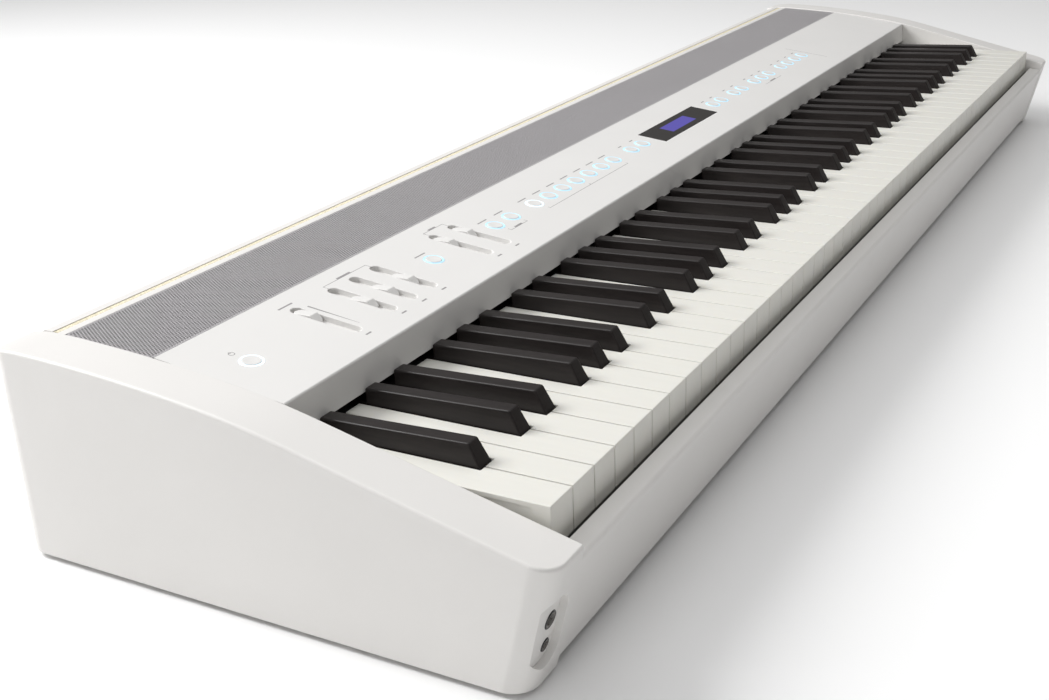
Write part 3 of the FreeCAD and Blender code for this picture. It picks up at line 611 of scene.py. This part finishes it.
# ---- grille
class PIANO_OT_grille(bpy.types.Operator):
    """Build the perforated sheet from two crossing families of webs, with cloth below and a dark
    strip standing in the front seam as painted shade
    """
    bl_idname = "piano.grille"
    bl_label = "Speaker grille"

    def execute(self, context):
        sizes, finish = context.scene.piano_grille, context.scene.piano_finish
        low, high = GRILLE_LOW, GRILLE_HIGH
        run = high.y - low.y
        rise = high.z - low.z - 1.2 * MM
        lean = run / tan(radians(60))
        half_web = sizes.web / 2 / sin(radians(60))
        bm = bmesh.new()
        count = int((high.x - low.x + lean) / sizes.hole_pitch) + 2
        for family in (1, -1):
            for i in range(count):
                x = low.x + i * sizes.hole_pitch - (lean if family > 0 else 0)
                add_web(bm, x, x + family * lean, low.y, high.y, half_web, sizes.sheet)
        for side, x in ((-1, low.x), (1, high.x)):
            everything = bm.verts[:] + bm.edges[:] + bm.faces[:]
            cut = bmesh.ops.bisect_plane(bm, geom=everything, plane_co=(x, 0, 0),
                                         plane_no=(side, 0, 0), clear_outer=True)["geom_cut"]
            ends = [g for g in cut if isinstance(g, bmesh.types.BMEdge)]
            bmesh.ops.holes_fill(bm, edges=ends, sides=0)
        edge = sizes.margin
        for x0, x1, y0, y1 in ((low.x, high.x, low.y, low.y + edge),
                               (low.x, high.x, high.y - edge, high.y),
                               (low.x, low.x + edge, low.y, high.y),
                               (high.x - edge, high.x, low.y, high.y)):
            add_box(bm, (x0, y0, -sizes.sheet), (x1, y1, 0.05 * MM))
        slope = rise / run
        for vert in bm.verts:
            vert.co.z += high.z - rise + (vert.co.y - low.y) * slope
        paint = moulded("grille paint", finish.grille, 0.4, 3000.0)
        finished(bm, "perforated_grille", "case", paint, ["speaker_grille"])
        cloth = bmesh.new()
        drop = sizes.cloth_drop
        verts = add_box(cloth, (low.x, low.y - MM, -0.4 * MM), (high.x, high.y, 0))
        # The second box is a dark strip standing up in the front seam: painted shade for the
        # shadowed gap between panel and grille.
        verts += add_box(cloth, (low.x, low.y - 1.05 * MM, 0.1 * MM),
                         (high.x, low.y - 0.1 * MM, drop - 0.25 * MM))
        for vert in verts:
            vert.co.z += high.z - rise - drop + (vert.co.y - low.y) * slope
        # This dark cloth finish also colours the seam strip, which is painted shade.
        dark = felt_finish("speaker cloth", (0.035, 0.035, 0.037))
        finished(cloth, "speaker_cloth_and_seam_shade", "case", dark)
        return {"FINISHED"}


def add_web(bm, x0, x1, y0, y1, half, thick):
    """One slanting web of the sheet, from the front edge to the back."""
    add_plan(bm, [(x0 - half, y0), (x0 + half, y0), (x1 + half, y1), (x1 - half, y1)], -thick, 0)


# ---- controls
class PIANO_OT_buttons(bpy.types.Operator):
    """Turn the 24 buttons and their light rings"""
    bl_idname = "piano.buttons"
    bl_label = "Buttons"

    def execute(self, context):
        sizes, finish = context.scene.piano_controls, context.scene.piano_finish
        satin = moulded("button white", finish.panel, 0.4)
        light = glow("ring light", finish.ring, 0.8)
        bright = glow("ring light bright", (0.75, 0.90, 1.0), 1.0)
        radius = sizes.button_radius
        cap = [(0, 0.35 * MM), (radius * 0.6, 0.42 * MM), (radius - 0.5 * MM, 0.6 * MM),
               (radius - 0.15 * MM, 0.45 * MM), (radius, 0.1 * MM), (radius, -4.9 * MM),
               (0, -4.9 * MM)]
        inner, outer = sizes.ring_inner, sizes.ring_outer
        ring = [(inner, -3.5 * MM), (inner, 0.1 * MM), (inner + 0.3 * MM, 0.35 * MM),
                (outer - 0.3 * MM, 0.35 * MM), (outer, 0.1 * MM), (outer, -3.5 * MM),
                (inner, -3.5 * MM)]
        rings = bmesh.new()
        for name in BUTTONS:
            place = panel_place(*panel_spot(name))
            bm = bmesh.new()
            lathe(bm, cap, sizes.steps, place)
            finished(bm, name + "_cap", name, satin, [name])
            before = set(rings.faces)
            lathe(rings, ring, sizes.steps, place)
            if name in ("tone_button_1", "power_button"):
                for face in set(rings.faces) - before:
                    face.material_index = 1
        finished(rings, "light_rings", "case", [light, bright],
                 ["button_light_rings"])
        return {"FINISHED"}


class PIANO_OT_sliders(bpy.types.Operator):
    """Shape the ridged slider caps"""
    bl_idname = "piano.sliders"
    bl_label = "Slider caps"

    def execute(self, context):
        sizes, finish = context.scene.piano_controls, context.scene.piano_finish
        white = moulded("slider white", finish.panel, 0.4)
        half, wide = sizes.cap_length / 2, sizes.cap_width / 2
        foot, shoulder, back = -3.2 * MM, -2.4 * MM, -0.9 * MM
        ridge = sizes.cap_ridge - half
        side = [(-half, foot), (half, foot), (half, back), (ridge + 0.5 * MM, sizes.cap_rise),
                (ridge - 0.5 * MM, sizes.cap_rise), (-half, shoulder)]
        for name in SLIDERS:
            bm = bmesh.new()
            face = bm.faces.new([bm.verts.new((-wide, y, z)) for y, z in side])
            drawn = bmesh.ops.extrude_face_region(bm, geom=[face])["geom"]
            bmesh.ops.translate(bm, vec=(2 * wide, 0, 0),
                                verts=[g for g in drawn if isinstance(g, bmesh.types.BMVert)])
            bmesh.ops.recalc_face_normals(bm, faces=bm.faces)
            ends = [e for e in bm.edges if all(abs(abs(v.co.y) - half) < 1e-6 for v in e.verts)
                    and abs(e.verts[0].co.z - e.verts[1].co.z) > 0.1 * MM]
            soften(bm, ends, wide - 0.2 * MM, 5)
            soften(bm, [e for e in bm.edges if e.calc_face_angle(0) > radians(12)
                        and max(v.co.z for v in e.verts) > shoulder - 0.1 * MM
                        and min(v.co.z for v in e.verts) > foot + 0.1 * MM],
                   sizes.cap_edge, 3)
            bmesh.ops.transform(bm, matrix=panel_place(*panel_spot(name)), verts=bm.verts)
            finished(bm, name + "_cap", name, white, [name])
        return {"FINISHED"}


class PIANO_OT_display(bpy.types.Operator):
    """Fit the dark display window"""
    bl_idname = "piano.display"
    bl_label = "Display window"

    def execute(self, context):
        bm = bmesh.new()
        half_x = (WINDOW_HIGH.x - WINDOW_LOW.x) / 2
        x, up = panel_spot("display_window")
        verts = add_box(bm, (-half_x, -13.2 * MM, -1.6 * MM), (half_x, 13.2 * MM, 0.1 * MM))
        soften(bm, {e for v in verts for e in v.link_edges}, 0.2 * MM)
        bmesh.ops.transform(bm, matrix=panel_place(x, up), verts=bm.verts)
        finished(bm, "window_pane", "case",
                 window_finish(context.scene.piano_finish), ["display_window"])
        return {"FINISHED"}


class PIANO_OT_print(bpy.types.Operator):
    """Lay the panel's thin printed lines and marks; they carry no lettering"""
    bl_idname = "piano.print"
    bl_label = "Printed marks"

    def execute(self, context):
        sizes, finish = context.scene.piano_controls, context.scene.piano_finish
        bm = bmesh.new()
        line = sizes.print_width
        spots = {name: panel_spot(name) for name in BUTTONS + SLIDERS}
        row = spots["power_button"][1]
        behind, ahead, slot_half = 10.7 * MM, 13.1 * MM, 24.4 * MM

        def bar(x, up, width, depth=line):
            add_box(bm, (x - width / 2, up - depth / 2, 0), (x + width / 2, up + depth / 2, INK))

        def bracket(first, last, up, tick, label):
            x0, x1 = spots[first][0], spots[last][0]
            bar((x0 + x1) / 2, up, x1 - x0 + line)
            for x in (x0, x1):
                bar(x, up + tick / 2, line, abs(tick))
            bar((x0 + x1) / 2, up + MM, label, 1.6 * MM)

        for name in BUTTONS[1:]:
            label = 12 * MM if name.startswith(("tone", "split", "dual", "equal")) else 6 * MM
            bar(spots[name][0], row + behind, label, 1.1 * MM)
        for name in SLIDERS:
            bar(spots[name][0], row - slot_half - 5.4 * MM, 5 * MM, 1.3 * MM)
        bar(spots["volume_slider"][0], row + slot_half + 4.8 * MM, 13 * MM, 1.3 * MM)
        bracket("equalizer_slider_1", "equalizer_slider_3", row + slot_half + 4.4 * MM, -6 * MM,
                14 * MM)
        bracket("balance_slider_1", "balance_slider_2", row + slot_half + 5.3 * MM, -6 * MM,
                9 * MM)
        bracket("split_button", "dual_button", row - ahead, 3 * MM, 10 * MM)
        bracket("tone_button_1", "tone_button_7", row - ahead, 2 * MM, MM)
        bracket("record_button_1", "record_button_3", row - ahead, 1 * MM, 14 * MM)
        volume = spots["volume_slider"][0] + 8.4 * MM
        wedge = [(volume - 0.1 * MM, row - 17.8 * MM), (volume + 0.1 * MM, row - 17.8 * MM),
                 (volume + 0.7 * MM, row + 19.2 * MM), (volume - 0.7 * MM, row + 19.2 * MM)]
        add_plan(bm, wedge, 0, INK)
        last = spots["function_button_4"][0] + 16 * MM
        bar(last, row, 0.7 * MM, 47.5 * MM)
        power = spots["power_button"][0]
        ring = [(1.5 * MM, 0), (1.5 * MM, INK), (2.0 * MM, INK), (2.0 * MM, 0), (1.5 * MM, 0)]
        lathe(bm, ring, 24, Matrix.Translation((power, row + 13.7 * MM, 0)))
        bar(power, row + 15.2 * MM, 0.5 * MM, 1.8 * MM)
        bmesh.ops.transform(bm, matrix=panel_place(0, 0), verts=bm.verts)
        ink = moulded("panel print", finish.ink, 0.5)
        finished(bm, "panel_print", "case", ink)
        return {"FINISHED"}


class PIANO_OT_sockets(bpy.types.Operator):
    """Turn the black bushes and the metal rings round the sockets"""
    bl_idname = "piano.sockets"
    bl_label = "Socket bushes"

    def execute(self, context):
        black = moulded("bush black", (0.015, 0.014, 0.014), 0.3)
        metal = metal_finish("socket ring", (0.35, 0.33, 0.31), 0.3)
        bm = bmesh.new()
        for name, mount in MOUNTS.items():
            if mount["kind"] != "bore":
                continue
            bore = mount["dims"]["r_mm"] * MM
            out = Vector(mount["axis"]).normalized()
            if not name.startswith("phones"):
                out = Vector((0, 1, 0))
            start = Vector(mount["pos_m"]) + out * mount["dims"]["length_mm"] / 2 * MM
            place = Matrix.Translation(start) @ out.to_track_quat("Z", "Y").to_matrix().to_4x4()
            wide = bore + 2.0 * MM
            bush = [(bore + 0.8 * MM, 0.02 * MM), (bore + 0.8 * MM, 0.5 * MM),
                    (wide - 0.4 * MM, 0.5 * MM), (wide, 0.1 * MM), (wide, 0.02 * MM),
                    (bore + 0.8 * MM, 0.02 * MM)]
            lathe(bm, bush, 36, place)
            before = set(bm.faces)
            ring = [(bore, -3 * MM), (bore, 0.2 * MM), (bore + 0.8 * MM, 0.35 * MM),
                    (bore + 0.8 * MM, 0.02 * MM), (bore + 0.15 * MM, 0.02 * MM),
                    (bore + 0.15 * MM, -3 * MM), (bore, -3 * MM)]
            lathe(bm, ring, 36, place)
            for face in set(bm.faces) - before:
                face.material_index = 1
        finished(bm, "socket_bushes", "case", [black, metal])
        return {"FINISHED"}


# ---- stage
class PIANO_OT_stage(bpy.types.Operator):
    """Set the floor, lights and camera"""
    bl_idname = "piano.stage"
    bl_label = "Stage"

    def execute(self, context):
        stage = context.scene.piano_stage
        bm = bmesh.new()
        bmesh.ops.create_grid(bm, x_segments=1, y_segments=1, size=12)
        mesh = bpy.data.meshes.new("floor")
        bm.to_mesh(mesh)
        bm.free()
        floor = bpy.data.objects.new("floor", mesh)
        material, _, _ = new_material("floor", stage.floor, 0.9, specular=0.1)
        mesh.materials.append(material)
        context.scene.collection.objects.link(floor)
        self.sky(context)
        context.scene.view_settings.view_transform = "Standard"
        self.lamp(context, "back_panel", (-0.9, 1.8, 1.7), (0.0, 0.0, 0.1), 1.2, 62.0)
        self.lamp(context, "top_panel", (0.0, 0.1, 2.3), (0.0, 0.0, 0.1), 3.0, 22.0)
        self.lamp(context, "side_panel", (-2.5, -0.2, 0.9), (-0.6, 0.0, 0.1), 1.5, 4.0)
        self.camera(context, stage)
        return {"FINISHED"}

    def sky(self, context):
        """A soft sky, bright overhead and dim at the horizon."""
        world = bpy.data.worlds.new("studio")
        world.use_nodes = True
        tree = world.node_tree
        place = tree.nodes.new("ShaderNodeTexCoord")
        split = tree.nodes.new("ShaderNodeSeparateXYZ")
        ramp = tree.nodes.new("ShaderNodeValToRGB")
        ramp.color_ramp.elements[0].position = 0.10
        ramp.color_ramp.elements[0].color = (0.20, 0.185, 0.17, 1)
        ramp.color_ramp.elements[1].position = 0.75
        ramp.color_ramp.elements[1].color = (1, 1, 1, 1)
        background = tree.nodes["Background"]
        tree.links.new(place.outputs["Generated"], split.inputs["Vector"])
        tree.links.new(split.outputs["Z"], ramp.inputs["Fac"])
        tree.links.new(ramp.outputs["Color"], background.inputs["Color"])
        background.inputs["Strength"].default_value = 0.42
        context.scene.world = world

    def lamp(self, context, name, place, target, size, power):
        data = bpy.data.lights.new(name, "AREA")
        data.size = size
        data.energy = power
        lamp = bpy.data.objects.new(name, data)
        lamp.location = place
        towards = Vector(target) - Vector(place)
        lamp.rotation_euler = towards.to_track_quat("-Z", "Y").to_euler()
        context.scene.collection.objects.link(lamp)

    def camera(self, context, stage):
        data = bpy.data.cameras.new("camera")
        data.sensor_width = 36
        data.lens = stage.lens
        data.shift_x, data.shift_y = stage.shift
        camera = bpy.data.objects.new("camera", data)
        camera.location = stage.eye
        camera.rotation_euler = Euler(stage.turn)
        context.scene.collection.objects.link(camera)
        context.scene.camera = camera


class PIANO_PT_panel(bpy.types.Panel):
    """Buttons that build the piano's pieces"""
    bl_idname = "PIANO_PT_panel"
    bl_label = "Piano"
    bl_space_type = "VIEW_3D"
    bl_region_type = "UI"
    bl_category = "Piano"

    def draw(self, context):
        for operator in OPERATORS:
            self.layout.operator(operator.bl_idname)


OPERATORS = (PIANO_OT_case, PIANO_OT_rest_strip, PIANO_OT_white_keys, PIANO_OT_black_keys,
             PIANO_OT_grille, PIANO_OT_buttons, PIANO_OT_sliders, PIANO_OT_display,
             PIANO_OT_print, PIANO_OT_sockets, PIANO_OT_stage)
CLASSES = tuple(group for _, group in GROUPS) + OPERATORS + (PIANO_PT_panel,)


def register():
    for cls in CLASSES:
        bpy.utils.register_class(cls)
    for name, group in GROUPS:
        setattr(bpy.types.Scene, name, PointerProperty(type=group))


def unregister():
    for name, _ in GROUPS:
        delattr(bpy.types.Scene, name)
    for cls in reversed(CLASSES):
        bpy.utils.unregister_class(cls)


def main():
    register()
    for operator in OPERATORS:
        module, name = operator.bl_idname.split(".")
        getattr(getattr(bpy.ops, module), name)()


if __name__ == "__main__":
    main()
